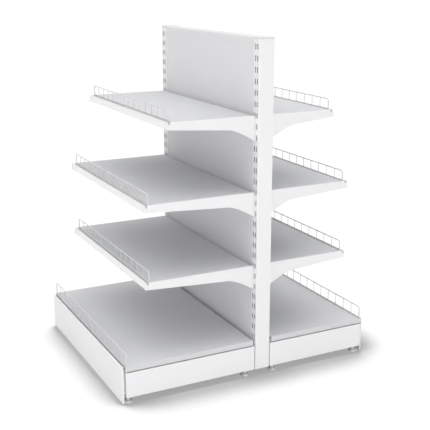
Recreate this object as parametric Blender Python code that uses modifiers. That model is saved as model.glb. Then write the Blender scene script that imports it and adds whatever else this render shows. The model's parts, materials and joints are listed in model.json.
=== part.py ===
"""Double-sided gondola shelving: one free-standing bay of slotted steel uprights with shelves on both sides.

Metres, +Z up. X runs along the bay, -Y is the front side, which has the deeper shelves, and +Y the back.
The origin is on the floor, under the middle of the bounding box.
"""

from math import cos, pi, sin

import bmesh
import bpy
from mathutils import Matrix, Vector

# Fits and sheet
GAP = 0.0003                   # air left between touching pieces
SHEET = 0.0012                 # folded sheet steel of trays, decks, panels and covers

# Uprights: slotted tubes
BAY_LENGTH = 1.000             # between the axes of the two uprights
UPRIGHT_WIDTH = 0.050          # along the bay
UPRIGHT_DEPTH = 0.076          # across the bay
UPRIGHT_WALL = 0.002
UPRIGHT_BOTTOM = 0.036         # above the floor
UPRIGHT_TOP = 1.583
SLOT_PITCH = 0.050
SLOT_HEIGHT = 0.025
SLOT_SIDE_CLEARANCE = 0.0025   # on each side of a bracket's hook
SLOT_COLUMN = 0.009            # a slot column from the upright's axis
SLOT_TOP_MARGIN = 0.025        # least steel above the highest slot's centre
SLOT_ABOVE_BASE = 0.010        # the lowest slot's centre above the base deck
CAP_HEIGHT = 0.009
CAP_PLUG = 0.016               # the cap's plug inside the tube
CAP_BEVEL = 0.002

# Shelf levels: height of each tray's upper face
DECK_TOP = 0.185
LOWER_SHELF_TOP = 0.550
SHELF_SLOTS_APART = 7          # slots between one shelf and the next
SHELF_NAMES = ("lower", "middle", "top")

# Reach of trays and decks from the upright's face to their front edge
FRONT_SHELF_REACH = 0.524
FRONT_TOP_SHELF_REACH = 0.411
FRONT_BASE_REACH = 0.654
BACK_SHELF_REACH = 0.421
BACK_TOP_SHELF_REACH = 0.326
BACK_BASE_REACH = 0.532
TRAY_BACK_GAP = 0.012          # between a tray's back and the upright's face
TRAY_FLANGE = 0.028            # depth of a tray's folded edges
DECK_FLANGE = 0.024
DECK_END_SETBACK = 0.0015      # deck's ends behind the uprights' end faces
TRAY_END_GAP = 0.0005          # between a tray's end and its bracket

# Brackets: tapered plates that hook into the slots
BRACKET_SHEET = 0.003
BRACKET_TOP_DROP = 0.001       # the plate's top edge below the tray's upper face
BRACKET_NOSE = 0.003           # plate in front of the price rail's face
BRACKET_LIP = 0.002            # plate below the price rail at its front end
BRACKET_WAIST_HEIGHT = 0.057   # where the straight taper ends
BRACKET_HEEL = 0.004           # plate below the lowest hook
BRACKET_FLARE = 0.130          # length of the flared root
BRACKET_FLARE_POWER = 1.4
BRACKET_FLARE_STEPS = 8
LEDGE_WIDTH = 0.014            # the folded ledge that carries the tray
LEDGE_THICKNESS = 0.0025
LEDGE_BACK = 0.020             # the ledge's ends from the upright and from the tray's front edge
LEDGE_FRONT = 0.015
HOOK_SLOTS = (1, 2)            # slots below the tray's upper face
HOOK_CLEARANCE = 0.0006
HOOK_TIP = 0.004
HOOK_DROP = 0.006

# Price rails: sloped strips along the trays' front edges, with a groove behind their top lip
RAIL_HEIGHT = 0.032            # lower edge below the tray's upper face
RAIL_PROJECTION = 0.016        # lower edge in front of the tray's edge
RAIL_WALL = 0.002
RAIL_TOP_DROP = 0.001
RAIL_GROOVE = 0.009            # width of the groove
RAIL_GROOVE_DEPTH = 0.012
RAIL_END_GAP = 0.001           # between the rail's end and the bracket's plate

# Wire fences along the front edges
FENCE_HEIGHT = 0.050           # top of a fence above its tray
BASE_FENCE_HEIGHT = 0.062      # the same above a base deck
FENCE_INSET = 0.006            # fence plane behind the tray's front edge
FENCE_END_INSET = 0.008        # fence ends from the tray's ends
FENCE_WIRE = 0.0025            # radius
FENCE_LOWER_WIRE = 0.0022      # radius
FENCE_BAR = 0.0015             # radius of the upright bars
FENCE_BAR_PITCH = 0.070
FENCE_CORNER = 0.014           # bend radius of the top corners
FENCE_CORNER_STEPS = 3
FENCE_LEG = 0.007              # how far the ends reach below the tray's upper face
FENCE_HOLE_CLEARANCE = 0.0007

# Base: legs, levelling feet, end covers and plinths
LEG_WIDTH = 0.024
LEG_WALL = 0.002
LEG_BOTTOM = 0.045
COVER_SETBACK = 0.001          # end cover's face behind the upright's end face
COVER_DEPTH = 0.024
COVER_TOP_DROP = 0.0055        # shadow gap between the cover's top and the deck's lower edge
COVER_BACK_GAP = 0.004
COVER_FRONT_GAP = 0.0005       # cover's front end behind the deck's edge
PLINTH_PROJECTION = 0.015      # plinth's face in front of the deck's edge
PLINTH_BACK_GAP = 0.008        # groove between the deck's edge and the plinth's folded edges
PLINTH_END_SETBACK = 0.012     # plinth's ends behind the uprights' end faces
PLINTH_BOTTOM = 0.006
PLINTH_TOP_DROP = 0.003        # plinth's top below the deck's upper face
FOOT_RADIUS = 0.020
FOOT_PAD = 0.012
FOOT_CHAMFER = 0.003
FOOT_COLLAR_RADIUS = 0.010
FOOT_STUD_RADIUS = 0.005
FOOT_STUD_LENGTH = 0.032       # above the collar
FOOT_HOLE_CLEARANCE = 0.0005
FOOT_INNER = 0.038             # foot axis from the upright's face
FOOT_OUTER = 0.018             # foot axis behind the deck's front edge
FOOT_STEPS = 12

# Back panels and the rails that hold them
PANEL_RECESS = 0.004           # panel face behind the upright's face
PANEL_DEPTH = 0.012
PANEL_TOP_DROP = 0.016         # panel's top below the top rail's top
TOP_RAIL_RISE = 0.007          # top rail above the tubes' upper ends
TOP_RAIL_HEIGHT = 0.030
TOP_RAIL_SHEET = 0.0025
BOTTOM_RAIL_DROP = 0.035       # bottom rail's top below the base deck
BOTTOM_RAIL_HEIGHT = 0.060

# Where the pieces meet
HALF_BAY = BAY_LENGTH / 2
HALF_UPRIGHT = UPRIGHT_DEPTH / 2
UPRIGHT_FACE_X = HALF_BAY + UPRIGHT_WIDTH / 2
PANEL_HALF_LENGTH = HALF_BAY - UPRIGHT_WIDTH / 2 - GAP
PANEL_FACE_Y = HALF_UPRIGHT - PANEL_RECESS
BRACKET_X = HALF_BAY - SLOT_COLUMN
TRAY_HALF_LENGTH = BRACKET_X - BRACKET_SHEET / 2 - TRAY_END_GAP
RAIL_LENGTH = 2 * BRACKET_X - BRACKET_SHEET - 2 * RAIL_END_GAP
RAIL_FLOOR = -RAIL_TOP_DROP - RAIL_GROOVE_DEPTH
COVER_FACE_X = UPRIGHT_FACE_X - COVER_SETBACK
LEG_FACE_X = COVER_FACE_X - COVER_DEPTH - GAP
DECK_HALF_LENGTH = UPRIGHT_FACE_X - DECK_END_SETBACK
LEG_X = LEG_FACE_X - LEG_WIDTH / 2
LEG_TOP = DECK_TOP - DECK_FLANGE - GAP
SHELF_SPACING = SHELF_SLOTS_APART * SLOT_PITCH
SLOT_WIDTH = BRACKET_SHEET + 2 * SLOT_SIDE_CLEARANCE
BRACKET_FRONT_HEIGHT = max(RAIL_HEIGHT, TRAY_FLANGE + LEDGE_THICKNESS) + BRACKET_LIP
BRACKET_ROOT_HEIGHT = max(HOOK_SLOTS) * SLOT_PITCH + SLOT_HEIGHT / 2 + BRACKET_HEEL
TOP_RAIL_TOP = UPRIGHT_TOP + TOP_RAIL_RISE
PANEL_TOP = TOP_RAIL_TOP - PANEL_TOP_DROP
BOTTOM_RAIL_TOP = DECK_TOP - BOTTOM_RAIL_DROP
COVER_BOTTOM = UPRIGHT_BOTTOM
COVER_TOP = DECK_TOP - DECK_FLANGE - COVER_TOP_DROP

# Facets: sides of holes and bars, the angle from which a round piece's edge stays sharp, and welding
HOLE_SIDES = 8
BAR_SIDES = 6
WIRE_RESOLUTION = 1
ROUND_EDGE = 0.4 * pi
WELD = 0.000001
AXIS_WELD = 0.0001

# Finishes: colour, roughness, metallic
WHITE_COAT = ((0.86, 0.853, 0.866), 0.45, 0.0)
SHELF_COAT = ((0.668, 0.672, 0.684), 0.65, 0.0)
PANEL_COAT = ((0.785, 0.787, 0.797), 0.60, 0.0)
WIRE_COAT = ((0.68, 0.68, 0.69), 0.40, 0.0)
RAIL_PLASTIC = ((0.87, 0.87, 0.86), 0.30, 0.0)
CAP_PLASTIC = ((0.76, 0.76, 0.77), 0.50, 0.0)
FOOT_COAT = ((0.78, 0.78, 0.77), 0.45, 0.0)


def clear_scene():
    for obj in list(bpy.data.objects):
        bpy.data.objects.remove(obj, do_unlink=True)


def new_collection(name):
    collection = bpy.data.collections.new(name)
    bpy.context.scene.collection.children.link(collection)
    return collection


def new_material(name, finish):
    colour, roughness, metallic = finish
    material = bpy.data.materials.new(name)
    material.use_nodes = True
    shader = material.node_tree.nodes["Principled BSDF"]
    shader.inputs["Base Color"].default_value = (*colour, 1.0)
    shader.inputs["Roughness"].default_value = roughness
    shader.inputs["Metallic"].default_value = metallic
    return material


clear_scene()
PARTS = new_collection("gondola_shelving")
CUTTERS = new_collection("cutters")


def new_empty(name, parent=None, location=(0, 0, 0), turn=0.0):
    empty = bpy.data.objects.new(name, None)
    PARTS.objects.link(empty)
    empty.parent = parent
    empty.location = location
    empty.rotation_euler.z = turn
    return empty


def new_part(name, mesh, finish, parent, location=(0, 0, 0)):
    """One named piece with a material of its own."""
    obj = bpy.data.objects.new(name, mesh)
    PARTS.objects.link(obj)
    obj.parent = parent
    obj.location = location
    obj.data.materials.append(new_material(name + "_finish", finish))
    return obj


def combine(obj, mesh, operation, offset=(0, 0, 0)):
    """Cuts the mesh from a piece or joins it on, placed relative to the piece's own origin."""
    tool = bpy.data.objects.new(obj.name + "_" + operation.lower(), mesh)
    CUTTERS.objects.link(tool)
    tool.parent = obj.parent
    tool.location = obj.location + Vector(offset)
    tool.hide_render = True
    tool.display_type = "WIRE"
    modifier = obj.modifiers.new(operation.title(), "BOOLEAN")
    modifier.operation = operation
    modifier.object = tool


def mesh_from(bm, name):
    mesh = bpy.data.meshes.new(name)
    bm.to_mesh(mesh)
    bm.free()
    return mesh


def span(low, high):
    """The size and the middle of a box between two corners."""
    low, high = Vector(low), Vector(high)
    return high - low, (high + low) / 2


def box_mesh(name, boxes):
    """Boxes given by their lowest and highest corners."""
    bm = bmesh.new()
    for low, high in boxes:
        size, middle = span(low, high)
        bmesh.ops.create_cube(bm, size=1.0, matrix=Matrix.LocRotScale(middle, None, size))
    return mesh_from(bm, name)


def new_pan(name, low, high, open_side, finish, parent, sheet=SHEET):
    """A folded sheet tray: a box without the face that looks along open_side, its origin in the middle."""
    size, middle = span(low, high)
    bm = bmesh.new()
    bmesh.ops.create_cube(bm, size=1.0, matrix=Matrix.LocRotScale(None, None, size))
    away = Vector(open_side)
    opened = [face for face in bm.faces if face.normal.dot(away) > 0]
    bmesh.ops.delete(bm, geom=opened, context="FACES_ONLY")
    pan = new_part(name, mesh_from(bm, name), finish, parent, middle)
    shell = pan.modifiers.new("Sheet", "SOLIDIFY")
    shell.thickness = sheet
    shell.offset = -1.0
    shell.use_even_offset = True
    return pan


def rods_mesh(name, ends, radius, sides):
    """Straight round bars along Z, one for each (foot point, length)."""
    bm = bmesh.new()
    for foot, length in ends:
        middle = Vector(foot) + Vector((0, 0, length / 2))
        bmesh.ops.create_cone(
            bm, cap_ends=True, segments=sides, radius1=radius, radius2=radius,
            depth=length, matrix=Matrix.Translation(middle),
        )
    mesh = mesh_from(bm, name)
    mesh.shade_smooth()
    mesh.set_sharp_from_angle(angle=ROUND_EDGE)
    return mesh


def curve_mesh(curve):
    """The curve as a closed mesh, with its caps welded on."""
    obj = bpy.data.objects.new(curve.name, curve)
    PARTS.objects.link(obj)
    graph = bpy.context.evaluated_depsgraph_get()
    mesh = bpy.data.meshes.new_from_object(obj.evaluated_get(graph))
    bpy.data.objects.remove(obj, do_unlink=True)
    bm = bmesh.new()
    bm.from_mesh(mesh)
    bmesh.ops.remove_doubles(bm, verts=bm.verts, dist=WELD)
    bmesh.ops.recalc_face_normals(bm, faces=bm.faces)
    bm.to_mesh(mesh)
    bm.free()
    return mesh


def add_line(curve, points, closed):
    spline = curve.splines.new("POLY")
    spline.points.add(len(points) - 1)
    for target, point in zip(spline.points, points):
        target.co = (*point, 1.0)
    spline.use_cyclic_u = closed


def outline_mesh(name, points, width):
    """A flat outline of (y, z) points, made width thick along X."""
    curve = bpy.data.curves.new(name, "CURVE")
    curve.dimensions = "2D"
    curve.fill_mode = "BOTH"
    curve.extrude = width / 2
    add_line(curve, [(y, z, 0.0) for y, z in points], closed=True)
    mesh = curve_mesh(curve)
    mesh.transform(Matrix(((0, 0, 1, 0), (1, 0, 0, 0), (0, 1, 0, 0), (0, 0, 0, 1))))
    return mesh


def wire_mesh(name, points, radius):
    curve = bpy.data.curves.new(name, "CURVE")
    curve.dimensions = "3D"
    curve.bevel_depth = radius
    curve.bevel_resolution = WIRE_RESOLUTION
    curve.use_fill_caps = True
    add_line(curve, points, closed=False)
    return curve_mesh(curve)


def slot_heights():
    """Centres of the slots, a whole number of pitches from the shelves."""
    below = int((LOWER_SHELF_TOP - DECK_TOP - SLOT_ABOVE_BASE) / SLOT_PITCH)
    above = int((UPRIGHT_TOP - SLOT_TOP_MARGIN - LOWER_SHELF_TOP) / SLOT_PITCH)
    return [LOWER_SHELF_TOP + step * SLOT_PITCH for step in range(-below, above + 1)]


def make_upright(name, x, parent):
    """A tube open at its lower end, with two slot columns through its front and back walls."""
    low = (-UPRIGHT_WIDTH / 2, -HALF_UPRIGHT, UPRIGHT_BOTTOM)
    high = (UPRIGHT_WIDTH / 2, HALF_UPRIGHT, UPRIGHT_TOP)
    upright = new_part(name, box_mesh(name, [(low, high)]), WHITE_COAT, parent, (x, 0, 0))
    half_bore = UPRIGHT_WIDTH / 2 - UPRIGHT_WALL
    bore_y = HALF_UPRIGHT - UPRIGHT_WALL
    low = (-half_bore, -bore_y, UPRIGHT_BOTTOM - UPRIGHT_WALL)
    high = (half_bore, bore_y, UPRIGHT_TOP + UPRIGHT_WALL)
    combine(upright, box_mesh(name + "_bore", [(low, high)]), "DIFFERENCE")
    slots = []
    for column in (-SLOT_COLUMN, SLOT_COLUMN):
        for height in slot_heights():
            low = (column - SLOT_WIDTH / 2, -UPRIGHT_DEPTH, height - SLOT_HEIGHT / 2)
            high = (column + SLOT_WIDTH / 2, UPRIGHT_DEPTH, height + SLOT_HEIGHT / 2)
            slots.append((low, high))
    combine(upright, box_mesh(name + "_slots", slots), "DIFFERENCE")


def make_cap(name, x, parent):
    """A plastic cap with a plug that fills the top of the tube."""
    low = (-UPRIGHT_WIDTH / 2, -HALF_UPRIGHT, UPRIGHT_TOP + GAP)
    high = (UPRIGHT_WIDTH / 2, HALF_UPRIGHT, UPRIGHT_TOP + CAP_HEIGHT)
    cap = new_part(name, box_mesh(name, [(low, high)]), CAP_PLASTIC, parent, (x, 0, 0))
    edge = cap.modifiers.new("Edge", "BEVEL")
    edge.width = CAP_BEVEL
    edge.segments = 1
    half_x = UPRIGHT_WIDTH / 2 - UPRIGHT_WALL - GAP
    half_y = HALF_UPRIGHT - UPRIGHT_WALL - GAP
    plug = ((-half_x, -half_y, UPRIGHT_TOP - CAP_PLUG), (half_x, half_y, UPRIGHT_TOP + CAP_HEIGHT / 2))
    combine(cap, box_mesh(name + "_plug", [plug]), "UNION")


def make_panel(name, parent):
    """A back panel with folded edges, standing on the bottom rail."""
    low = (-PANEL_HALF_LENGTH, PANEL_FACE_Y - PANEL_DEPTH, BOTTOM_RAIL_TOP + GAP)
    high = (PANEL_HALF_LENGTH, PANEL_FACE_Y, PANEL_TOP)
    new_pan(name, low, high, (0, -1, 0), PANEL_COAT, parent)


def make_channel(name, half_depth, height, sheet, top, finish, parent):
    """A channel along the bay, open below and at its ends."""
    inner = half_depth - sheet
    points = [
        (-half_depth, -height),
        (-inner, -height),
        (-inner, -sheet),
        (inner, -sheet),
        (inner, -height),
        (half_depth, -height),
        (half_depth, 0),
        (-half_depth, 0),
    ]
    new_part(name, outline_mesh(name, points, 2 * PANEL_HALF_LENGTH), finish, parent, (0, 0, top))


def make_rails(parent):
    """The rail that caps both panels, and the one that they stand on."""
    half_depth = PANEL_FACE_Y + GAP + TOP_RAIL_SHEET
    make_channel("top_rail", half_depth, TOP_RAIL_HEIGHT, TOP_RAIL_SHEET, TOP_RAIL_TOP, PANEL_COAT, parent)
    make_channel("bottom_rail", PANEL_FACE_Y, BOTTOM_RAIL_HEIGHT, SHEET, BOTTOM_RAIL_TOP, WHITE_COAT, parent)


def bracket_outline(reach):
    """(y, z) points from the upright's face and the tray's upper face, with two hooks behind the face.

    The nose covers the end of the price rail, with a notch where the rail's groove runs out.
    """
    top = -BRACKET_TOP_DROP
    edge = reach + GAP
    lip = edge + RAIL_GROOVE
    points = [(GAP, top), (edge, top), (edge, RAIL_FLOOR), (lip, RAIL_FLOOR), (lip, top)]
    points.append((lip + RAIL_WALL + BRACKET_NOSE, top))
    points.append((edge + RAIL_PROJECTION + BRACKET_NOSE, -BRACKET_FRONT_HEIGHT))
    for step in range(BRACKET_FLARE_STEPS + 1):
        inward = step / BRACKET_FLARE_STEPS
        y = BRACKET_FLARE + (GAP - BRACKET_FLARE) * inward
        extra = (BRACKET_ROOT_HEIGHT - BRACKET_WAIST_HEIGHT) * inward ** BRACKET_FLARE_POWER
        points.append((y, -BRACKET_WAIST_HEIGHT - extra))
    behind = -UPRIGHT_WALL - HOOK_CLEARANCE
    tip = behind - HOOK_TIP
    for slots in sorted(HOOK_SLOTS, reverse=True):
        upper = -slots * SLOT_PITCH + SLOT_HEIGHT / 2 - HOOK_CLEARANCE
        lower = -slots * SLOT_PITCH - SLOT_HEIGHT / 2 + HOOK_CLEARANCE
        points += [(GAP, lower), (behind, lower), (behind, lower - HOOK_DROP)]
        points += [(tip, lower - HOOK_DROP), (tip, upper), (GAP, upper)]
    return points


def make_bracket(name, end, reach, top, parent):
    """A tapered plate with a ledge along its inner face that the tray rests on."""
    plate = outline_mesh(name, bracket_outline(reach), BRACKET_SHEET)
    place = (end * BRACKET_X, HALF_UPRIGHT, top)
    bracket = new_part(name, plate, WHITE_COAT, parent, place)
    inner = -end * (BRACKET_SHEET / 2 + LEDGE_WIDTH)
    ledge_top = -TRAY_FLANGE - GAP
    low = (min(inner, 0), LEDGE_BACK, ledge_top - LEDGE_THICKNESS)
    high = (max(inner, 0), reach - LEDGE_FRONT, ledge_top)
    combine(bracket, box_mesh(name + "_ledge", [(low, high)]), "UNION")


def fence_ends(half_length):
    return half_length - FENCE_END_INSET


def punch_fence_holes(tray, half_length, reach, top):
    """Two holes for the ends of the wire fence."""
    x = fence_ends(half_length)
    y = HALF_UPRIGHT + reach - FENCE_INSET
    holes = [((end * x, y, top - FENCE_LEG), 2 * FENCE_LEG) for end in (-1, 1)]
    cutter = rods_mesh(tray.name + "_holes", holes, FENCE_WIRE + FENCE_HOLE_CLEARANCE, HOLE_SIDES)
    combine(tray, cutter, "DIFFERENCE", -tray.location)


def make_tray(name, reach, top, half_length, flange, parent):
    """A shelf tray, folded down on all four edges."""
    low = (-half_length, HALF_UPRIGHT + TRAY_BACK_GAP, top - flange)
    high = (half_length, HALF_UPRIGHT + reach, top)
    tray = new_pan(name, low, high, (0, 0, -1), SHELF_COAT, parent)
    punch_fence_holes(tray, half_length, reach, top)


def rail_face(height):
    """How far the price rail's sloped face stands in front of the tray's edge at a height."""
    upper = GAP + RAIL_GROOVE + RAIL_WALL
    lower = GAP + RAIL_PROJECTION
    share = (-RAIL_TOP_DROP - height) / (RAIL_HEIGHT - RAIL_TOP_DROP)
    return upper + (lower - upper) * share


def make_price_rail(name, reach, top, parent):
    """A strip clipped to the tray's front edge: back plate, groove, top lip and sloped face."""
    lip = GAP + RAIL_GROOVE
    under = RAIL_FLOOR - RAIL_WALL
    points = [
        (GAP, RAIL_FLOOR),
        (GAP, -TRAY_FLANGE),
        (GAP + RAIL_WALL, -TRAY_FLANGE),
        (GAP + RAIL_WALL, under),
        (rail_face(under) - RAIL_WALL, under),
        (rail_face(-RAIL_HEIGHT) - RAIL_WALL, -RAIL_HEIGHT),
        (rail_face(-RAIL_HEIGHT), -RAIL_HEIGHT),
        (rail_face(-RAIL_TOP_DROP), -RAIL_TOP_DROP),
        (lip, -RAIL_TOP_DROP),
        (lip, RAIL_FLOOR),
    ]
    place = (0, HALF_UPRIGHT + reach, top)
    new_part(name, outline_mesh(name, points, RAIL_LENGTH), RAIL_PLASTIC, parent, place)


def fence_frame(half, top_wire):
    """The frame wire: up one leg, round a corner, along the top and down the other leg."""
    points = [(-half, 0, -FENCE_LEG)]
    for step in range(FENCE_CORNER_STEPS + 1):
        angle = pi / 2 * step / FENCE_CORNER_STEPS
        x = -half + FENCE_CORNER * (1 - cos(angle))
        points.append((x, 0, top_wire - FENCE_CORNER * (1 - sin(angle))))
    return points + [(-x, y, z) for x, y, z in reversed(points)]


def make_fence(name, reach, top, half_length, height, parent):
    """A wire fence along the front edge: frame, lower wire and bars, its legs in the tray's holes."""
    half = fence_ends(half_length)
    top_wire = height - FENCE_WIRE
    low_wire = FENCE_LOWER_WIRE + GAP
    place = (0, HALF_UPRIGHT + reach - FENCE_INSET, top)
    frame = wire_mesh(name, fence_frame(half, top_wire), FENCE_WIRE)
    fence = new_part(name, frame, WIRE_COAT, parent, place)
    lower = wire_mesh(name + "_lower_wire", [(-half, 0, low_wire), (half, 0, low_wire)], FENCE_LOWER_WIRE)
    combine(fence, lower, "UNION")
    gaps = round(2 * half / FENCE_BAR_PITCH)
    bars = []
    for bar in range(1, gaps):
        bars.append(((-half + 2 * half * bar / gaps, 0, low_wire), top_wire - low_wire))
    combine(fence, rods_mesh(name + "_bars", bars, FENCE_BAR, BAR_SIDES), "UNION")


def foot_places(base_reach):
    return {"inner": HALF_UPRIGHT + FOOT_INNER, "outer": HALF_UPRIGHT + base_reach - FOOT_OUTER}


def make_leg(name, end, base_reach, parent):
    """A channel, open at the top, from the upright to the plinth, with a hole for each foot."""
    front = HALF_UPRIGHT + base_reach + PLINTH_PROJECTION - SHEET - GAP
    low = (end * LEG_X - LEG_WIDTH / 2, HALF_UPRIGHT + GAP, LEG_BOTTOM)
    high = (end * LEG_X + LEG_WIDTH / 2, front, LEG_TOP)
    leg = new_pan(name, low, high, (0, 0, 1), WHITE_COAT, parent, LEG_WALL)
    holes = []
    for y in foot_places(base_reach).values():
        holes.append(((end * LEG_X, y, LEG_BOTTOM - LEG_WALL), 3 * LEG_WALL))
    cutter = rods_mesh(name + "_holes", holes, FOOT_STUD_RADIUS + FOOT_HOLE_CLEARANCE, FOOT_STEPS)
    combine(leg, cutter, "DIFFERENCE", -leg.location)


def make_foot(name, x, y, parent):
    """A levelling foot: pad, collar under the leg and threaded stud, turned about its own axis."""
    collar_top = LEG_BOTTOM - GAP
    profile = [
        (0, collar_top + FOOT_STUD_LENGTH),
        (FOOT_STUD_RADIUS, collar_top + FOOT_STUD_LENGTH),
        (FOOT_STUD_RADIUS, collar_top),
        (FOOT_COLLAR_RADIUS, collar_top),
        (FOOT_COLLAR_RADIUS, FOOT_PAD),
        (FOOT_RADIUS - FOOT_CHAMFER, FOOT_PAD),
        (FOOT_RADIUS, FOOT_PAD - FOOT_CHAMFER),
        (FOOT_RADIUS, 0),
        (0, 0),
    ]
    bm = bmesh.new()
    points = [bm.verts.new((radius, 0, z)) for radius, z in profile]
    for first, second in zip(points, points[1:]):
        bm.edges.new((first, second))
    foot = new_part(name, mesh_from(bm, name), FOOT_COAT, parent, (x, y, 0))
    turn = foot.modifiers.new("Turn", "SCREW")
    turn.steps = FOOT_STEPS
    turn.render_steps = FOOT_STEPS
    turn.use_merge_vertices = True
    turn.merge_threshold = AXIS_WELD
    turn.use_smooth_shade = True


def make_end_cover(name, end, base_reach, parent):
    """A folded plate over the outer face of a leg."""
    faces = sorted((end * COVER_FACE_X, end * (COVER_FACE_X - COVER_DEPTH)))
    low = (faces[0], HALF_UPRIGHT + COVER_BACK_GAP, COVER_BOTTOM)
    high = (faces[1], HALF_UPRIGHT + base_reach - COVER_FRONT_GAP, COVER_TOP)
    new_pan(name, low, high, (-end, 0, 0), WHITE_COAT, parent)


def make_plinth(name, base_reach, parent):
    """The kick plate in front of the legs, its edges folded back."""
    half = UPRIGHT_FACE_X - PLINTH_END_SETBACK
    low = (-half, HALF_UPRIGHT + base_reach + PLINTH_BACK_GAP, PLINTH_BOTTOM)
    high = (half, HALF_UPRIGHT + base_reach + PLINTH_PROJECTION, DECK_TOP - PLINTH_TOP_DROP)
    new_pan(name, low, high, (0, -1, 0), WHITE_COAT, parent)


def make_side(side, turn, shelf_reaches, base_reach, root):
    """One side of the bay in its own frame: X along the bay, +Y outwards from the uprights' middle plane."""
    frame = new_empty(side + "_side", root, turn=turn)
    facing = round(cos(turn))
    end_names = {facing: "right", -facing: "left"}
    make_panel(side + "_panel", frame)
    for level, (shelf, reach) in enumerate(zip(SHELF_NAMES, shelf_reaches)):
        label = side + "_" + shelf
        top = LOWER_SHELF_TOP + level * SHELF_SPACING
        for end, end_name in end_names.items():
            make_bracket(label + "_bracket_" + end_name, end, reach, top, frame)
        make_tray(label + "_tray", reach, top, TRAY_HALF_LENGTH, TRAY_FLANGE, frame)
        make_price_rail(label + "_price_rail", reach, top, frame)
        make_fence(label + "_fence", reach, top, TRAY_HALF_LENGTH, FENCE_HEIGHT, frame)
    make_tray(side + "_base_deck", base_reach, DECK_TOP, DECK_HALF_LENGTH, DECK_FLANGE, frame)
    base_fence = side + "_base_fence"
    make_fence(base_fence, base_reach, DECK_TOP, DECK_HALF_LENGTH, BASE_FENCE_HEIGHT, frame)
    make_plinth(side + "_plinth", base_reach, frame)
    for end, end_name in end_names.items():
        make_leg(side + "_base_leg_" + end_name, end, base_reach, frame)
        make_end_cover(side + "_end_cover_" + end_name, end, base_reach, frame)
        for place, y in foot_places(base_reach).items():
            make_foot(side + "_foot_" + end_name + "_" + place, end * LEG_X, y, frame)


def main():
    middle = (FRONT_BASE_REACH - BACK_BASE_REACH) / 2
    root = new_empty("bay", location=(0, middle, 0))
    for name, x in (("left", -HALF_BAY), ("right", HALF_BAY)):
        make_upright("upright_" + name, x, root)
        make_cap("upright_cap_" + name, x, root)
    make_rails(root)
    front_reaches = (FRONT_SHELF_REACH, FRONT_SHELF_REACH, FRONT_TOP_SHELF_REACH)
    back_reaches = (BACK_SHELF_REACH, BACK_SHELF_REACH, BACK_TOP_SHELF_REACH)
    make_side("front", pi, front_reaches, FRONT_BASE_REACH, root)
    make_side("back", 0.0, back_reaches, BACK_BASE_REACH, root)


main()
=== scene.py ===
"""Double-sided gondola shelving, dressed: folded sheet, slotted tubes, wire fences and plastic rails.

Metres, +Z up, X along the bay, -Y the front side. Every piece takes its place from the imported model's nodes.
"""

import json
from math import cos, pi, radians, sin, tan

import bmesh
import bpy
from mathutils import Matrix, Vector

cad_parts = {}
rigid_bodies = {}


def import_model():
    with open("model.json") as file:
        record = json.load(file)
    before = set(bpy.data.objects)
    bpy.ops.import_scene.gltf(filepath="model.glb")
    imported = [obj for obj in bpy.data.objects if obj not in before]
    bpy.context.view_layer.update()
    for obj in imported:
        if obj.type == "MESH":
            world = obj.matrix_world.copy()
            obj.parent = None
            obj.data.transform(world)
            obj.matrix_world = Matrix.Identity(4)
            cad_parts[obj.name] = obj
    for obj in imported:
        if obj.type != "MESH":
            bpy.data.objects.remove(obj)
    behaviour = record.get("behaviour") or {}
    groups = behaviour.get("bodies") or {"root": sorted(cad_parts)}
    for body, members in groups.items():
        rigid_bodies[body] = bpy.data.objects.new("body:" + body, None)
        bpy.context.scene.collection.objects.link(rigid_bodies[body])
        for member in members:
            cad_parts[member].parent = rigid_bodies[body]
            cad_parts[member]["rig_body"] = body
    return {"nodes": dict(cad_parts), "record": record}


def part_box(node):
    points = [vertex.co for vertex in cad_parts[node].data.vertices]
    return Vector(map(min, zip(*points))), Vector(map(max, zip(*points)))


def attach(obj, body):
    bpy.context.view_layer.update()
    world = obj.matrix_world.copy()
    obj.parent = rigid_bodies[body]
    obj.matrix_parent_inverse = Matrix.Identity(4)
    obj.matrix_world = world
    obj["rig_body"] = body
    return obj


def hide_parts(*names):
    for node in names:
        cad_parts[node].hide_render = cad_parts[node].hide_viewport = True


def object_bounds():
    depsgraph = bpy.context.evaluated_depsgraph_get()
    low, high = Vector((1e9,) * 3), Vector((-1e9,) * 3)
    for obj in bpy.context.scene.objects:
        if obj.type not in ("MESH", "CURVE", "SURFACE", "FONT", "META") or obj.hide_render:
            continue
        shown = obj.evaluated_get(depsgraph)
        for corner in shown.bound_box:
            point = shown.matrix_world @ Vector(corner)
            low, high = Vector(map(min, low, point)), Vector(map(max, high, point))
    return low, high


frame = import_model()
cad_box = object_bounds()

# Sides, levels and ends
OUTWARD = {"front": -1, "back": 1}
SHELVES = ("lower", "middle", "top")
ENDS = {"left": -1, "right": 1}
FOOT_PLACES = ("inner", "outer")

# Fits and folds
GAP = 0.0003                   # air between touching pieces
MERGE = GAP / 100              # points closer than this become one
SHEET = 0.0012                 # sheet steel
FOLD = 0.0025                  # outer radius of a fold
FOLD_STEPS = 4
EDGE_STEPS = 2                 # facets of a plate's softened edge
ROUND_PROFILE = 0.5            # a bevel whose section is an arc
ARC_STEPS = 5                  # facets of a rounded corner
ROUND_SIDES = 32               # facets of a round hole or foot
SHARP_ANGLE = radians(40)      # from this angle an edge stays sharp in the shading

# Uprights
TUBE_CORNER = 0.004
TUBE_WALL = 0.002
SLOT_PITCH = 0.050
SLOT_HEIGHT = 0.025
SLOT_WIDTH = 0.008
SLOT_CORNER = 0.0012
SLOT_COLUMN = 0.009            # a slot column from the upright's axis
SLOT_TOP_MARGIN = 0.025        # least steel above the highest slot's centre
SLOT_ABOVE_BASE = 0.010        # the lowest slot's centre above the base deck
CAP_ROUND = 0.0025
CAP_SEAM = 0.0006

# Rails between the uprights, with the sheet of each
CHANNEL_SHEET = {"top_rail": 0.0025, "bottom_rail": SHEET}

# Trays and decks
TRAY_LIP = 0.012               # sheet turned in under the flanges
HOLE_CLEARANCE = 0.0007

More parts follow.
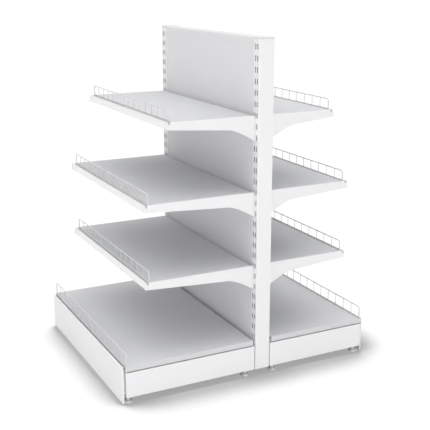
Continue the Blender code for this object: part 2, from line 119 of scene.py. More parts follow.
# Brackets: (out, up) outlines from the upright's face and the tray's upper face
BRACKET_SHEET = 0.003
BRACKET_EDGE = 0.0005          # width of the softened edges
BRACKET_CORNER = 2 * BRACKET_EDGE
BRACKET_LIP = 0.002            # plate below the price rail at its front end
BRACKET_WAIST = 0.057          # depth where the straight taper ends
BRACKET_HEEL = 0.004           # plate below the lowest hook
BRACKET_FLARE = 0.130          # length of the flared root
BRACKET_FLARE_POWER = 1.4
BRACKET_FLARE_STEPS = 18
BRACKET_NOSE = 0.003           # plate in front of the price rail's face
BRACKET_NOSE_ROUND = 0.003
LEDGE_WIDTH = 0.014
LEDGE_THICKNESS = 0.0025
LEDGE_BACK = 0.020             # the ledge's ends from the upright and from the tray's front edge
LEDGE_FRONT = 0.015
HOOK_SLOTS = (1, 2)            # slots below the tray's upper face
HOOK_CLEARANCE = 0.0006
HOOK_TIP = 0.004
HOOK_DROP = 0.006

# Price rails
RAIL_WALL = 0.002
RAIL_GROOVE = 0.009
RAIL_GROOVE_DEPTH = 0.012
RAIL_BEAD = 0.0035             # height of the beads that hold a label at the face's two long edges
RAIL_RECESS = 0.0008           # the face between the beads lies this far back
RAIL_ROUND = 0.0006

# Wire fences
WIRE = 0.0025                  # radius of the frame wire
LOWER_WIRE = 0.0022            # radius
BAR = 0.0015                   # radius of the upright bars
BAR_PITCH = 0.070
FENCE_BEND = 0.014
WELD_LENGTH = 0.003
WELD_SWELL = 1.35              # a bar's radius at its welds
WIRE_RESOLUTION = 4

# Levelling feet, from the floor up
PAD_RADIUS = 0.020
PAD_EDGE = 0.009               # height of the pad's rim
PAD_TOP = 0.013
PAD_NECK = 0.0085              # radius
PAD_SOLE_ROUND = 0.0008
PAD_ROUND = 0.003
NUT_RADIUS = 0.0098            # across corners
NUT_SIDES = 6
NUT_EDGE = 0.0007              # width of a nut's softened edges
NUT_EDGE_STEPS = 3
BOSS_HEIGHTS = (PAD_TOP, 0.022)
BOSS_CORE_DROP = 0.003         # the neck's top inside the boss, below the boss's top
LOCKNUT_HEIGHT = 0.008
THREAD_RADIUS = 0.005
THREAD_DEPTH = 0.0007
THREAD_PITCH = 0.0015
THREAD_SIDES = 16

# Camera: fitted to the photograph's edges
CAMERA_PLACE = (3.814, -1.864, 1.844)
CAMERA_AZIMUTH = radians(63.06)
CAMERA_ELEVATION = radians(15.41)
CAMERA_LENS = 72.51
CAMERA_SENSOR = 36.0

# Stage
WHITE = (1, 1, 1, 1)
FLOOR_SIZE = 60.0
FLOOR_ROUGHNESS = 0.9
FLOOR_BOUNCE = 0.85            # its colour in the light that it throws back
FLOOR_COLOUR = 0.20            # its colour as the camera sees it, with a glow that makes it white
FLOOR_GLOW = 0.84
SHADOWS = (                    # the painted floor shadow: where the light leans to, and the shadow's width; the darkest one shows
    ((-0.13, -0.45, 0.88), 0.26),
    ((-0.13, -0.15, 0.98), 0.28),
    ((-0.10, 0.05, 0.99), 0.08),
)
SHADOW_OPEN_SKY = (0.57, 0.85)  # shares of open sky between which the shadow fades
SHADOW_TONE = 0.42
OVERHEAD_LIGHT = 1.95
LAMP_SIZE = 2.5
LAMPS = {                      # place and power
    "lamp_end": ((5.0, -0.8, 1.2), 63.0),
    "lamp_front_low": ((0.5, -5.0, 1.2), 38.0),
    "lamp_front_high": ((0.5, -3.6, 4.4), 21.0),
    "lamp_back_high": ((0.5, 3.6, 4.4), 36.0),
}

# Shares of a noise's range over which a finish changes
COLOUR_BAND = (0.35, 0.65)
GLOSS_BAND = (0.3, 0.7)

SLOT_OF = {part["node"]: part["material_slot"] for part in frame["record"]["subparts"]}


class Nodes:
    """Adds nodes to a tree."""

    def __init__(self, tree):
        self.tree = tree

    def add(self, kind, **values):
        """A node with its sockets set; spaces in a socket's name are written as underscores."""
        node = self.tree.nodes.new(kind)
        for name, value in values.items():
            self.set(node.inputs[name.replace("_", " ")], value)
        return node

    def set(self, socket, value):
        """Links a socket to an output, or gives it a constant."""
        if isinstance(value, bpy.types.NodeSocket):
            self.tree.links.new(value, socket)
        else:
            socket.default_value = value

    def math(self, operation, *values):
        node = self.tree.nodes.new("ShaderNodeMath")
        node.operation = operation
        for socket, value in zip(node.inputs, values):
            self.set(socket, value)
        return node.outputs["Value"]

    def seen(self):
        """1 for what the camera sees, straight, in gloss or through glass, and 0 for other light."""
        path = self.add("ShaderNodeLightPath")
        seen = path.outputs["Is Camera Ray"]
        for ray in ("Is Glossy Ray", "Is Transmission Ray"):
            seen = self.math("MAXIMUM", seen, path.outputs[ray])
        return seen


class Graph(Nodes):
    """The node tree of a new material."""

    def __init__(self, name):
        self.material = bpy.data.materials.new(name)
        self.material.use_nodes = True
        super().__init__(self.material.node_tree)
        self.shader = self.tree.nodes["Principled BSDF"]

    def noise(self, cells, detail=2.0, stretch=(1, 1, 1)):
        """Noise of that many cells to a metre, drawn out along an axis where stretch is small."""
        place = self.add("ShaderNodeTexCoord").outputs["Object"]
        spread = self.add("ShaderNodeMapping", Vector=place, Scale=stretch).outputs["Vector"]
        return self.add("ShaderNodeTexNoise", Vector=spread, Scale=cells, Detail=detail).outputs["Fac"]

    def shades(self, factor, colour, darkest):
        """The colour, down to a darkest share of it."""
        ramp = self.add("ShaderNodeValToRGB", Fac=factor)
        for element, position, share in zip(ramp.color_ramp.elements, COLOUR_BAND, (darkest, 1.0)):
            element.position = position
            element.color = (*(value * share for value in colour), 1.0)
        return ramp.outputs["Color"]

    def span(self, factor, low, high, band=GLOSS_BAND):
        """A value from low to high while the factor goes through the band."""
        node = self.add(
            "ShaderNodeMapRange", Value=factor, From_Min=band[0], From_Max=band[1], To_Min=low, To_Max=high,
        )
        return node.outputs["Result"]

    def bump(self, height, strength, depth):
        node = self.add("ShaderNodeBump", Height=height, Strength=strength, Distance=depth)
        self.set(self.shader.inputs["Normal"], node.outputs["Normal"])

    def finish(self, colour, roughness):
        self.set(self.shader.inputs["Base Color"], colour)
        self.set(self.shader.inputs["Roughness"], roughness)
        return self.material


def powder_coat(name, colour, roughness, shine):
    """Baked powder paint: faint clouds in the colour, fine grain in the gloss and an orange-peel skin."""
    graph = Graph(name)
    clouds = graph.shades(graph.noise(cells=2.6, detail=3.0), colour, darkest=0.985)
    gloss = graph.span(graph.noise(cells=240.0), roughness - 0.05, roughness + 0.05)
    graph.bump(graph.noise(cells=420.0, detail=1.0), strength=0.10, depth=0.0003)
    graph.shader.inputs["Specular IOR Level"].default_value = shine
    return graph.finish(clouds, gloss)


def coated_wire(name, colour, roughness):
    """Dipped wire: a smooth thick coat with slow thick and thin places along it."""
    graph = Graph(name)
    clouds = graph.shades(graph.noise(cells=30.0), colour, darkest=0.97)
    gloss = graph.span(graph.noise(cells=90.0), roughness - 0.06, roughness + 0.06)
    graph.bump(graph.noise(cells=150.0), strength=0.12, depth=0.0003)
    return graph.finish(clouds, gloss)


def drawn_plastic(name, colour, roughness):
    """Extruded plastic: draw lines along the strip in colour, gloss and relief."""
    graph = Graph(name)
    lines = graph.noise(cells=900.0, stretch=(0.004, 1, 1))
    graph.bump(lines, strength=0.08, depth=0.0002)
    shades = graph.shades(lines, colour, darkest=0.985)
    return graph.finish(shades, graph.span(lines, roughness, roughness + 0.08))


def moulded_plastic(name, colour, roughness):
    """Moulded plastic with a spark-eroded grain."""
    graph = Graph(name)
    grain = graph.noise(cells=1400.0)
    graph.bump(grain, strength=0.25, depth=0.0002)
    clouds = graph.shades(graph.noise(cells=60.0), colour, darkest=0.96)
    return graph.finish(clouds, graph.span(grain, roughness, roughness + 0.1))


def coated_steel(name, colour, roughness):
    """Turned steel under a thin grey coat, with faint rings from the lathe."""
    graph = Graph(name)
    rings = graph.noise(cells=1200.0, detail=1.0, stretch=(0.02, 0.02, 1))
    graph.bump(rings, strength=0.15, depth=0.0002)
    clouds = graph.shades(graph.noise(cells=80.0), colour, darkest=0.94)
    return graph.finish(clouds, graph.span(rings, roughness, roughness + 0.1))


def bare_steel_painted_shade(name, colour, roughness):
    """Rolled steel without paint, as inside a tube that powder doesn't reach, in streaks along its length; its
    dark tone is painted shade.
    """
    graph = Graph(name)
    streaks = graph.noise(cells=120.0, detail=3.0, stretch=(1, 1, 0.05))
    graph.bump(streaks, strength=0.1, depth=0.0002)
    clouds = graph.shades(streaks, colour, darkest=0.75)
    return graph.finish(clouds, graph.span(streaks, roughness, roughness + 0.15))


MATERIALS = {
    "white_coat": powder_coat("white_powder_coat", (0.860, 0.853, 0.866), 0.45, 0.45),
    # painted shade: shelf_coat and panel_coat are the white powder coat made greyer, to stand in for the shade
    # on the shelves' tops and on the panels
    "shelf_coat": powder_coat("shelf_coat_painted_shade", (0.668, 0.672, 0.684), 0.65, 0.20),
    "panel_coat": powder_coat("panel_coat_painted_shade", (0.785, 0.787, 0.797), 0.60, 0.30),
    "wire_coat": coated_wire("wire_coating", (0.68, 0.68, 0.69), 0.40),
    "rail_plastic": drawn_plastic("rail_plastic", (0.87, 0.87, 0.86), 0.28),
    "cap_plastic": moulded_plastic("cap_plastic", (0.76, 0.76, 0.77), 0.46),
    "foot_metal": coated_steel("foot_coated_steel", (0.78, 0.78, 0.77), 0.40),
}
# painted shade: the tubes' unpainted insides are made dark so that the slots look shaded
BORE_STEEL_PAINTED_SHADE = bare_steel_painted_shade("tube_bore", (0.20, 0.20, 0.21), 0.55)


def new_object(name, mesh):
    obj = bpy.data.objects.new(name, mesh)
    bpy.context.scene.collection.objects.link(obj)
    return obj


def mesh_from(bm, name):
    mesh = bpy.data.meshes.new(name)
    bm.to_mesh(mesh)
    bm.free()
    return mesh


def settle(obj):
    """Gives the object its evaluated mesh in place of its modifiers."""
    graph = bpy.context.evaluated_depsgraph_get()
    mesh = bpy.data.meshes.new_from_object(obj.evaluated_get(graph))
    obj.modifiers.clear()
    obj.data = mesh


def combine(obj, mesh, operation):
    """Cuts the mesh from a piece or joins it on."""
    tool = new_object(obj.name + "_tool", mesh)
    step = obj.modifiers.new(operation, "BOOLEAN")
    step.operation = operation
    step.object = tool
    settle(obj)
    bpy.data.objects.remove(tool, do_unlink=True)


def dress(node, form, obj):
    """Names a piece for the node that it stands for, and gives it the node's body, slot and finish."""
    slot = SLOT_OF[node]
    obj.name = node + "_" + form
    obj.data.name = obj.name
    obj.data.materials.clear()
    obj.data.materials.append(MATERIALS[slot])
    obj.data.shade_smooth()
    obj.data.set_sharp_from_angle(angle=SHARP_ANGLE)
    normals = obj.modifiers.new("Normals", "WEIGHTED_NORMAL")
    normals.keep_sharp = True
    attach(obj, frame["nodes"][node]["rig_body"])
    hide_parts(node)


def rounded(corners, closed=True):
    """Points of an outline whose corners are (a, b, radius); a radius of 0 keeps a corner sharp."""
    points = []
    for index, (a, b, radius) in enumerate(corners):
        corner = Vector((a, b))
        inside = closed or 0 < index < len(corners) - 1
        if not radius or not inside:
            points.append(corner)
            continue
        before = (Vector(corners[index - 1][:2]) - corner).normalized()
        after = (Vector(corners[(index + 1) % len(corners)][:2]) - corner).normalized()
        half = before.angle(after) / 2
        centre = corner + (before + after).normalized() * radius / sin(half)
        start = corner + before * radius / tan(half) - centre
        end = corner + after * radius / tan(half) - centre
        sweep = pi - 2 * half
        for step in range(ARC_STEPS + 1):
            turned = sweep * step / ARC_STEPS
            points.append(centre + (start * sin(sweep - turned) + end * sin(turned)) / sin(sweep))
    return points


def circle(x, y, radius, sides=ROUND_SIDES):
    turns = [2 * pi * side / sides for side in range(sides)]
    return [(x + radius * cos(turn), y + radius * sin(turn)) for turn in turns]


# Each of these turns an outline's (a, b) and a distance along its sweep into a point
def along_x(a, b, along):
    return along, a, b


def along_y(a, b, along):
    return a, along, b


def along_z(a, b, along):
    return a, b, along


def add_walls(bm, outline, low, high, place):
    """The walls of a closed outline swept from low to high, and its two rings of points."""
    first, last = [[bm.verts.new(place(a, b, along)) for a, b in outline] for along in (low, high)]
    for index in range(len(outline)):
        bm.faces.new((first[index - 1], first[index], last[index], last[index - 1]))
    return first, last


def add_prism(bm, outline, low, high, place):
    for ring in add_walls(bm, outline, low, high, place):
        bm.faces.new(ring)
    bmesh.ops.recalc_face_normals(bm, faces=bm.faces)


def prism_mesh(name, outlines, low, high, place):
    bm = bmesh.new()
    for outline in outlines:
        add_prism(bm, outline, low, high, place)
    return mesh_from(bm, name)


def soften(bm, width, steps):
    """Rounds the edges where two faces meet at a clear angle."""
    edges = [edge for edge in bm.edges if edge.is_manifold and edge.calc_face_angle() > SHARP_ANGLE]
    bmesh.ops.bevel(bm, geom=edges, offset=width, segments=steps, profile=ROUND_PROFILE, affect="EDGES")


def soften_object(obj, width, steps):
    bm = bmesh.new()
    bm.from_mesh(obj.data)
    soften(bm, width, steps)
    bm.to_mesh(obj.data)
    bm.free()


def make_sheet(obj, thickness=SHEET):
    """Thickens an open surface inwards."""
    sheet = obj.modifiers.new("Sheet", "SOLIDIFY")
    sheet.thickness = thickness
    sheet.offset = -1.0
    sheet.use_even_offset = True
    settle(obj)


def make_pan(name, low, high, opening, lip=0.0, thickness=SHEET):
    """Folded sheet: a box open on one side, with a lip turned in round the opening and rounded folds."""
    bm = bmesh.new()
    bmesh.ops.create_cube(bm, size=1.0, matrix=Matrix.LocRotScale((low + high) / 2, None, high - low))
    opened = [face for face in bm.faces if face.normal.dot(Vector(opening)) > 0]
    if lip:
        bmesh.ops.inset_region(bm, faces=opened, thickness=lip, use_even_offset=True)
    bmesh.ops.delete(bm, geom=opened, context="FACES")
    soften(bm, FOLD, FOLD_STEPS)
    pan = new_object(name, mesh_from(bm, name))
    make_sheet(pan, thickness)
    return pan


def slot_heights():
    """Centres of the slots in the uprights, a whole number of pitches from the shelves."""
    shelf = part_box("front_lower_tray")[1].z
    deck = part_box("front_base_deck")[1].z
    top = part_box("upright_left")[1].z
    below = int((shelf - deck - SLOT_ABOVE_BASE) / SLOT_PITCH)
    above = int((top - SLOT_TOP_MARGIN - shelf) / SLOT_PITCH)
    return [shelf + step * SLOT_PITCH for step in range(-below, above + 1)]


def box_outline(low_a, low_b, high_a, high_b, corner):
    corners = ((low_a, low_b), (high_a, low_b), (high_a, high_b), (low_a, high_b))
    return rounded([(a, b, corner) for a, b in corners])


def bare_bore_painted_shade(tube, low, high):
    """Leaves the inside of a tube unpainted, in a dark tone that is painted shade for the inside seen through
    the slots.
    """
    tube.data.materials.append(BORE_STEEL_PAINTED_SHADE)
    centre = (low + high) / 2
    reach = (high - low) / 2 - Vector((TUBE_WALL, TUBE_WALL, 0))
    for face in tube.data.polygons:
        away = face.center - centre
        inside = abs(away.x) < reach.x + GAP and abs(away.y) < reach.y + GAP
        face.material_index = int(inside)


def make_upright(end):
    """A roll-formed tube with round corners and two columns of punched slots on its front and back."""
    node = "upright_" + end
    low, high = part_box(node)
    bm = bmesh.new()
    add_walls(bm, box_outline(low.x, low.y, high.x, high.y, TUBE_CORNER), low.z, high.z, along_z)
    tube = new_object(node, mesh_from(bm, node))
    make_sheet(tube, TUBE_WALL)
    middle = (low.x + high.x) / 2
    slots = []
    for column in (middle - SLOT_COLUMN, middle + SLOT_COLUMN):
        left, right = column - SLOT_WIDTH / 2, column + SLOT_WIDTH / 2
        for height in slot_heights():
            lower, upper = height - SLOT_HEIGHT / 2, height + SLOT_HEIGHT / 2
            slots.append(box_outline(left, lower, right, upper, SLOT_CORNER))
    cutter = prism_mesh(node + "_slots", slots, low.y - TUBE_WALL, high.y + TUBE_WALL, along_y)
    combine(tube, cutter, "DIFFERENCE")
    dress(node, "tube", tube)
    bare_bore_painted_shade(tube, low, high)


def make_cap(end):
    """A moulded cap with a rounded top, and a fine seam above the tube."""
    node = "upright_cap_" + end
    low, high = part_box(node)
    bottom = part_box("upright_" + end)[1].z + GAP
    bm = bmesh.new()
    add_prism(bm, box_outline(low.x, low.y, high.x, high.y, TUBE_CORNER), bottom, high.z, along_z)
    for height, width in ((high.z, CAP_ROUND), (bottom, CAP_SEAM)):
        rim = [edge for edge in bm.edges if all(abs(vert.co.z - height) < GAP / 2 for vert in edge.verts)]
        bmesh.ops.bevel(
            bm, geom=rim, offset=width, segments=FOLD_STEPS, profile=ROUND_PROFILE, affect="EDGES",
        )
    dress(node, "moulding", new_object(node, mesh_from(bm, node)))


def make_channel(node):
    """A folded channel along the bay, open below and at its ends."""
    low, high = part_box(node)
    sheet = CHANNEL_SHEET[node]
    inner = FOLD - SHEET
    outer = inner + sheet
    outline = rounded([
        (low.y, low.z, 0),
        (low.y + sheet, low.z, 0),
        (low.y + sheet, high.z - sheet, inner),
        (high.y - sheet, high.z - sheet, inner),
        (high.y - sheet, low.z, 0),
        (high.y, low.z, 0),
        (high.y, high.z, outer),
        (low.y, high.z, outer),
    ])
    dress(node, "channel", new_object(node, prism_mesh(node, [outline], low.x, high.x, along_x)))


def make_tray(node, fence):
    """A tray folded down on four sides, with two holes for the legs of its fence."""
    tray = make_pan(node, *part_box(node), (0, 0, -1), TRAY_LIP)
    low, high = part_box(fence)
    y = (low.y + high.y) / 2
    holes = [circle(x, y, WIRE + HOLE_CLEARANCE) for x in (low.x + WIRE, high.x - WIRE)]
    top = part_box(node)[1].z
    cutter = prism_mesh(node + "_holes", holes, top - FOLD - WIRE, top + WIRE, along_z)
    combine(tray, cutter, "DIFFERENCE")
    dress(node, "sheet", tray)


def rail_floor(top_drop):
    """Height of a price rail's groove floor from the tray's upper face."""
    return -top_drop - RAIL_GROOVE_DEPTH


def edge_of(side, node):
    """The outer edge and the top of a node, as (y, z)."""
    low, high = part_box(node)
    return (low.y if side == "front" else high.y), high.z


def bracket_outline(reach, rail):
    """Corners (out, up, radius); reach is the tray's, and rail is the price rail's (drop, height, depth)."""
    drop, height, depth = rail
    top = -drop
    edge = reach + GAP
    lip = edge + RAIL_GROOVE
    floor = rail_floor(drop)
    root = max(HOOK_SLOTS) * SLOT_PITCH + SLOT_HEIGHT / 2 + BRACKET_HEEL
    corners = [
        (GAP, top, 0),
        (edge, top, BRACKET_CORNER),
        (edge, floor, BRACKET_CORNER),
        (lip, floor, BRACKET_CORNER),
        (lip, top, BRACKET_CORNER),
        (lip + RAIL_WALL + BRACKET_NOSE, top, BRACKET_CORNER),
        (edge + depth + BRACKET_NOSE, -height - BRACKET_LIP, BRACKET_NOSE_ROUND),
    ]
    for step in range(BRACKET_FLARE_STEPS + 1):
        inward = step / BRACKET_FLARE_STEPS
        deeper = (root - BRACKET_WAIST) * inward ** BRACKET_FLARE_POWER
        corners.append((BRACKET_FLARE + (GAP - BRACKET_FLARE) * inward, -BRACKET_WAIST - deeper, 0))
    behind = -TUBE_WALL - HOOK_CLEARANCE
    tip = behind - HOOK_TIP
    for slots in sorted(HOOK_SLOTS, reverse=True):
        upper = -slots * SLOT_PITCH + SLOT_HEIGHT / 2 - HOOK_CLEARANCE
        lower = -slots * SLOT_PITCH - SLOT_HEIGHT / 2 + HOOK_CLEARANCE
        corners += [
            (GAP, lower, 0),
            (behind, lower, 0),
            (behind, lower - HOOK_DROP, 0),
            (tip, lower - HOOK_DROP, BRACKET_CORNER),
            (tip, upper, BRACKET_CORNER),
            (GAP, upper, 0),
        ]
    return corners


def make_bracket(side, shelf, end):
    """A plate with softened edges and the folded ledge that its tray rests on."""
    label = side + "_" + shelf
    node = label + "_bracket_" + end
    out = OUTWARD[side]
    face = edge_of(side, "upright_" + end)[0]
    tray_edge, tray_top = edge_of(side, label + "_tray")
    rail_edge, rail_top = edge_of(side, label + "_price_rail")
    rail_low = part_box(label + "_price_rail")[0].z
    reach = out * (tray_edge - face)
    rail = (tray_top - rail_top, tray_top - rail_low, out * (rail_edge - tray_edge) - GAP)
    outline = [(face + out * a, tray_top + b) for a, b in rounded(bracket_outline(reach, rail))]
    low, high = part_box(node)
    outer = low.x if end == "left" else high.x
    inner = outer - ENDS[end] * BRACKET_SHEET
    bracket = new_object(node, prism_mesh(node, [outline], outer, inner, along_x))
    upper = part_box(label + "_tray")[0].z - GAP
    back, front = sorted((face + out * LEDGE_BACK, face + out * (reach - LEDGE_FRONT)))
    ledge = box_outline(back, upper - LEDGE_THICKNESS, front, upper, BRACKET_EDGE)
    ledge_end = inner - ENDS[end] * LEDGE_WIDTH
    combine(bracket, prism_mesh(node + "_ledge", [ledge], (outer + inner) / 2, ledge_end, along_x), "UNION")
    soften_object(bracket, BRACKET_EDGE, EDGE_STEPS)
    dress(node, "plate", bracket)


def make_price_rail(side, shelf):
    """An extruded strip: a clip plate, a groove behind its top lip and a sloped face with label beads."""
    node = side + "_" + shelf + "_price_rail"
    tray_edge, tray_top = edge_of(side, side + "_" + shelf + "_tray")
    out = OUTWARD[side]
    low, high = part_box(node)
    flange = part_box(side + "_" + shelf + "_tray")[0].z - tray_top
    drop = tray_top - high.z
    floor = rail_floor(drop)
    lip = GAP + RAIL_GROOVE
    crown = Vector((lip + RAIL_WALL, -drop))
    foot = Vector((out * (edge_of(side, node)[0] - tray_edge), low.z - tray_top))
    down = (foot - crown).normalized()
    inwards = Vector((down.y, -down.x))
    hollow_top = crown + down * ((crown.y - floor + RAIL_WALL) / -down.y) + inwards * RAIL_WALL
    upper_bead = crown + down * RAIL_BEAD
    lower_bead = foot - down * RAIL_BEAD
    fine = RAIL_ROUND
    corners = [
        (GAP, floor, 0),
        (GAP, flange, fine),
        (GAP + RAIL_WALL, flange, fine),
        (GAP + RAIL_WALL, floor - RAIL_WALL, fine),
        (hollow_top.x, floor - RAIL_WALL, fine),
        (*(foot + inwards * RAIL_WALL), fine),
        (*foot, fine),
        (*lower_bead, fine / 2),
        (*(lower_bead + inwards * RAIL_RECESS), fine / 2),
        (*(upper_bead + inwards * RAIL_RECESS), fine / 2),
        (*upper_bead, fine / 2),
        (*crown, fine),
        (lip, -drop, fine),
        (lip, floor, fine),
    ]
    outline = [(tray_edge + out * a, tray_top + b) for a, b in rounded(corners)]
    dress(node, "profile", new_object(node, prism_mesh(node, [outline], low.x, high.x, along_x)))


def wires_mesh(name, wires, radius):
    """Round wires with closed ends: each is a list of (point, share of the radius)."""
    curve = bpy.data.curves.new(name, "CURVE")
    curve.dimensions = "3D"
    curve.bevel_depth = radius
    curve.bevel_resolution = WIRE_RESOLUTION
    curve.use_fill_caps = True
    for wire in wires:
        spline = curve.splines.new("POLY")
        spline.points.add(len(wire) - 1)
        for target, (point, share) in zip(spline.points, wire):
            target.co = (*point, 1.0)
            target.radius = share
    obj = new_object(name, curve)
    graph = bpy.context.evaluated_depsgraph_get()
    mesh = bpy.data.meshes.new_from_object(obj.evaluated_get(graph))
    bpy.data.objects.remove(obj, do_unlink=True)
    bm = bmesh.new()
    bm.from_mesh(mesh)
    bmesh.ops.remove_doubles(bm, verts=bm.verts, dist=MERGE)
    bmesh.ops.recalc_face_normals(bm, faces=bm.faces)
    bm.to_mesh(mesh)
    bm.free()
    return mesh


def make_fence(node, tray):
    """A welded wire fence: a bent frame with its legs in the tray, a lower wire and upright bars."""
    low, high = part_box(node)
    y = (low.y + high.y) / 2
    half = high.x - WIRE
    upper = high.z - WIRE
    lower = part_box(tray)[1].z + GAP + LOWER_WIRE
    bends = [(-half, low.z, 0), (-half, upper, FENCE_BEND), (half, upper, FENCE_BEND), (half, low.z, 0)]
    path = rounded(bends, closed=False)
    wires = [[((x, y, z), 1.0) for x, z in path]]
    thin = LOWER_WIRE / WIRE
    wires.append([((-half, y, lower), thin), ((half, y, lower), thin)])
    gaps = round(2 * half / BAR_PITCH)
    for bar in range(1, gaps):
        x = -half + 2 * half * bar / gaps
        heights = (lower, lower + LOWER_WIRE, lower + LOWER_WIRE + WELD_LENGTH)
        heights += (upper - WIRE - WELD_LENGTH, upper - WIRE, upper)
        swells = (WELD_SWELL, WELD_SWELL, 1.0, 1.0, WELD_SWELL, WELD_SWELL)
        wires.append([((x, y, z), swell * BAR / WIRE) for z, swell in zip(heights, swells)])
    dress(node, "wire", new_object(node, wires_mesh(node, wires, WIRE)))


def add_turned(bm, profile, sides):
    """A profile of (radius, height) points turned about Z."""
    points = [bm.verts.new((radius, 0, height)) for radius, height in profile]
    edges = [bm.edges.new(pair) for pair in zip(points, points[1:])]
    bmesh.ops.spin(
        bm, geom=points + edges, cent=(0, 0, 0), axis=(0, 0, 1), angle=2 * pi, steps=sides, use_merge=True,
    )
    bmesh.ops.remove_doubles(bm, verts=bm.verts, dist=MERGE)


def thread_mesh(name, low, high):
    """A screw thread about Z with closed ends."""
    turns = round((high - low) / THREAD_PITCH)
    steps = turns * THREAD_SIDES
    bm = bmesh.new()
    root = THREAD_RADIUS - THREAD_DEPTH
    groove = [(THREAD_RADIUS, 0), (root, THREAD_PITCH / 2), (THREAD_RADIUS, THREAD_PITCH)]
    points = [bm.verts.new((radius, 0, low + height)) for radius, height in groove]
    edges = [bm.edges.new(pair) for pair in zip(points, points[1:])]
    bmesh.ops.spin(
        bm, geom=points + edges, cent=(0, 0, 0), axis=(0, 0, 1), angle=2 * pi * turns, steps=steps,
        dvec=(0, 0, THREAD_PITCH / THREAD_SIDES),
    )
    bmesh.ops.remove_doubles(bm, verts=bm.verts, dist=MERGE)
    bmesh.ops.holes_fill(bm, edges=[edge for edge in bm.edges if edge.is_boundary])
    bmesh.ops.recalc_face_normals(bm, faces=bm.faces)
    return mesh_from(bm, name)


def foot_mesh(leg_bottom, stud_top):
    """A levelling foot about Z: round pad with a hexagon boss, threaded stud and a locknut under the leg."""
    bm = bmesh.new()
    core_top = BOSS_HEIGHTS[1] - BOSS_CORE_DROP
    pad = rounded([
        (0, 0, 0),
        (PAD_RADIUS, 0, PAD_SOLE_ROUND),
        (PAD_RADIUS, PAD_EDGE, PAD_ROUND),
        (PAD_NECK, PAD_TOP, PAD_ROUND),
        (PAD_NECK, core_top, 0),
        (0, core_top, 0),
    ], closed=False)
    add_turned(bm, pad, ROUND_SIDES)
    bm.from_mesh(thread_mesh("stud", PAD_TOP, stud_top))
    for low, high in (BOSS_HEIGHTS, (leg_bottom - GAP - LOCKNUT_HEIGHT, leg_bottom - GAP)):
        nut = bmesh.new()
        add_prism(nut, circle(0, 0, NUT_RADIUS, NUT_SIDES), low, high, along_z)
        soften(nut, NUT_EDGE, NUT_EDGE_STEPS)
        bm.from_mesh(mesh_from(nut, "nut"))
    bmesh.ops.recalc_face_normals(bm, faces=bm.faces)
    return mesh_from(bm, "levelling_foot")


def make_leg(side, end):
    """A base leg: a channel open at the top, with a hole for each foot's stud."""
    node = side + "_base_leg_" + end
    low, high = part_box(node)
    leg = make_pan(node, low, high, (0, 0, 1), thickness=TUBE_WALL)
    holes = []
    for place in FOOT_PLACES:
        foot_low, foot_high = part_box(side + "_foot_" + end + "_" + place)
        middle = (foot_low + foot_high) / 2
        holes.append(circle(middle.x, middle.y, THREAD_RADIUS + HOLE_CLEARANCE))
    cutter = prism_mesh(node + "_holes", holes, low.z - TUBE_WALL, low.z + 2 * TUBE_WALL, along_z)
    combine(leg, cutter, "DIFFERENCE")
    dress(node, "channel", leg)


def make_feet(side, end, mesh):
    for place in FOOT_PLACES:
        node = side + "_foot_" + end + "_" + place
        low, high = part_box(node)
        foot = new_object(node, mesh.copy())
        foot.location = ((low.x + high.x) / 2, (low.y + high.y) / 2, low.z)
        dress(node, "screw_foot", foot)


def make_side(side):
    """The panel, shelves and base of one side."""
    inwards = (0, -OUTWARD[side], 0)
    for piece in ("_panel", "_plinth"):
        node = side + piece
        dress(node, "sheet", make_pan(node, *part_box(node), inwards))
    for shelf in SHELVES:
        label = side + "_" + shelf
        make_tray(label + "_tray", label + "_fence")
        make_price_rail(side, shelf)
        make_fence(label + "_fence", label + "_tray")
        for end in ENDS:
            make_bracket(side, shelf, end)
    make_tray(side + "_base_deck", side + "_base_fence")
    make_fence(side + "_base_fence", side + "_base_deck")
    leg_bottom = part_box(side + "_base_leg_left")[0].z
    stud_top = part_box(side + "_foot_left_inner")[1].z
    mesh = foot_mesh(leg_bottom, stud_top)
    for end, direction in ENDS.items():
        make_leg(side, end)
        node = side + "_end_cover_" + end
        dress(node, "sheet", make_pan(node, *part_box(node), (-direction, 0, 0)))
        make_feet(side, end, mesh)


def make_floor():
    """A pale floor that shows as white, keeps the object's soft shadow and adds a painted shadow round the
    object from ambient occlusion.
    """
    bm = bmesh.new()
    bmesh.ops.create_grid(bm, x_segments=1, y_segments=1, size=FLOOR_SIZE)
    floor = new_object("floor", mesh_from(bm, "floor"))
    floor.location.z = cad_box[0].z - GAP
    graph = Graph("floor_white")
    open_sky = 1.0
    for (x, y, z), reach in SHADOWS:
        light = graph.add("ShaderNodeCombineXYZ", X=x, Y=y, Z=z).outputs["Vector"]
        sky = graph.add("ShaderNodeAmbientOcclusion", Distance=reach, Normal=light).outputs["AO"]
        open_sky = graph.math("MINIMUM", open_sky, sky)
    # painted shadow: the ambient occlusion darkens the floor's colour and glow near the object
    shade = graph.span(open_sky, SHADOW_TONE, 1.0, SHADOW_OPEN_SKY)
    seen = graph.seen()
    seen_colour = graph.math("MULTIPLY", shade, FLOOR_COLOUR)
    seen_glow = graph.math("MULTIPLY", shade, FLOOR_GLOW)
    colour = graph.add("ShaderNodeMapRange", Value=seen, To_Min=FLOOR_BOUNCE, To_Max=seen_colour)
    graph.shader.inputs["Specular IOR Level"].default_value = 0.0
    graph.shader.inputs["Emission Color"].default_value = WHITE
    graph.set(graph.shader.inputs["Emission Strength"], graph.math("MULTIPLY", seen, seen_glow))
    floor.data.materials.append(graph.finish(colour.outputs["Result"], FLOOR_ROUGHNESS))


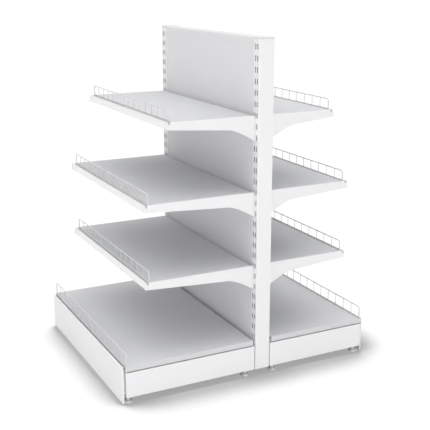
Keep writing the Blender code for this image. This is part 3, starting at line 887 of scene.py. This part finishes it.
def make_world():
    """A soft dome, brightest overhead, seen as white by the camera and in reflections."""
    world = bpy.data.worlds.new("studio")
    bpy.context.scene.world = world
    world.use_nodes = True
    nodes = Nodes(world.node_tree)
    nodes.tree.nodes.clear()
    direction = nodes.add("ShaderNodeTexCoord").outputs["Generated"]
    height = nodes.add("ShaderNodeSeparateXYZ", Vector=direction).outputs["Z"]
    level = nodes.math("MULTIPLY", nodes.math("MULTIPLY", height, height), OVERHEAD_LIGHT)
    dome = nodes.add("ShaderNodeBackground", Color=WHITE, Strength=level)
    backdrop = nodes.add("ShaderNodeBackground", Color=WHITE, Strength=1.0)
    mix = nodes.add("ShaderNodeMixShader", Fac=nodes.seen())
    nodes.set(mix.inputs[1], dome.outputs["Background"])
    nodes.set(mix.inputs[2], backdrop.outputs["Background"])
    nodes.add("ShaderNodeOutputWorld", Surface=mix.outputs["Shader"])


def make_lamp(name, place, power):
    """A square soft box that looks at the middle of the object."""
    light = bpy.data.lights.new(name, "AREA")
    light.shape = "SQUARE"
    light.size = LAMP_SIZE
    light.energy = power
    lamp = new_object(name, light)
    lamp.location = place
    target = Vector((0, 0, cad_box[1].z / 2))
    lamp.rotation_euler = (target - lamp.location).to_track_quat("-Z", "Y").to_euler()


def make_camera():
    """A camera without shift at the photograph's place and angle."""
    data = bpy.data.cameras.new("camera")
    data.lens = CAMERA_LENS
    data.sensor_width = CAMERA_SENSOR
    camera = new_object("camera", data)
    camera.location = CAMERA_PLACE
    back = Vector((
        sin(CAMERA_AZIMUTH) * cos(CAMERA_ELEVATION),
        -cos(CAMERA_AZIMUTH) * cos(CAMERA_ELEVATION),
        sin(CAMERA_ELEVATION),
    ))
    camera.rotation_euler = (-back).to_track_quat("-Z", "Y").to_euler()
    bpy.context.scene.camera = camera


for end in ENDS:
    make_upright(end)
    make_cap(end)
for rail in CHANNEL_SHEET:
    make_channel(rail)
for side in OUTWARD:
    make_side(side)

make_floor()
make_world()
for name, (place, power) in LAMPS.items():
    make_lamp(name, place, power)
make_camera()
bpy.context.scene.view_settings.view_transform = "Standard"
